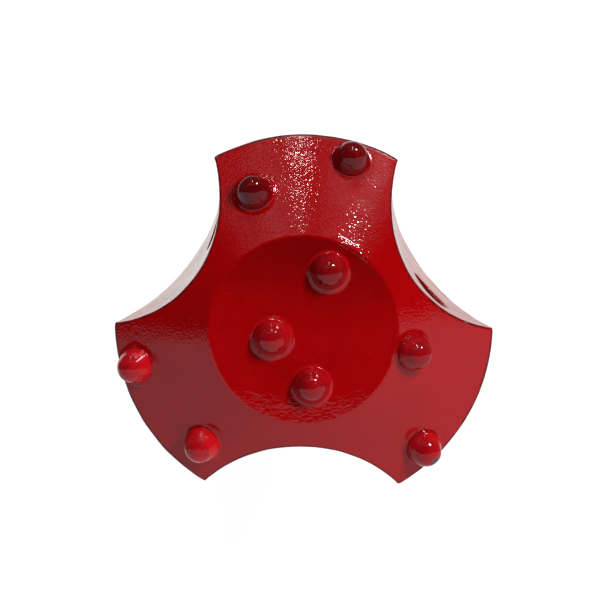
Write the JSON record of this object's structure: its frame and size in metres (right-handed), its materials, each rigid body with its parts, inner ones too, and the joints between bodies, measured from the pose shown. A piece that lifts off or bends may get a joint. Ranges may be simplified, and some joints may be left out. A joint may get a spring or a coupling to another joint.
{
  "type": "self-drilling anchor bit",
  "caption": "Arched three-winged button bit with a flat centre, bevelled wings, flushing holes in the flutes and a female rope thread for a hollow anchor bar.",
  "frame": {"origin": "centre of the skirt's end face, on the bit's axis, where the bar enters", "axes": "+Z along the bit's axis in the drilling direction; +Y through the middle of one wing; +X to the right of it, seen with the face towards the viewer and +Y up"},
  "size_m": [0.076, 0.0706, 0.08],
  "materials": {
    "body_enamel": "gloss red enamel over steel",
    "button_enamel": "the same enamel, flooded over the carbide"
  },
  "bodies": {
    "root": {"bit_body": "body_enamel", "centre_button_1": "button_enamel", "centre_button_2": "button_enamel", "centre_button_3": "button_enamel", "inner_button_1": "button_enamel", "inner_button_2": "button_enamel", "inner_button_3": "button_enamel", "gauge_button_1": "button_enamel", "gauge_button_2": "button_enamel", "gauge_button_3": "button_enamel"}
  },
  "joints": []
}
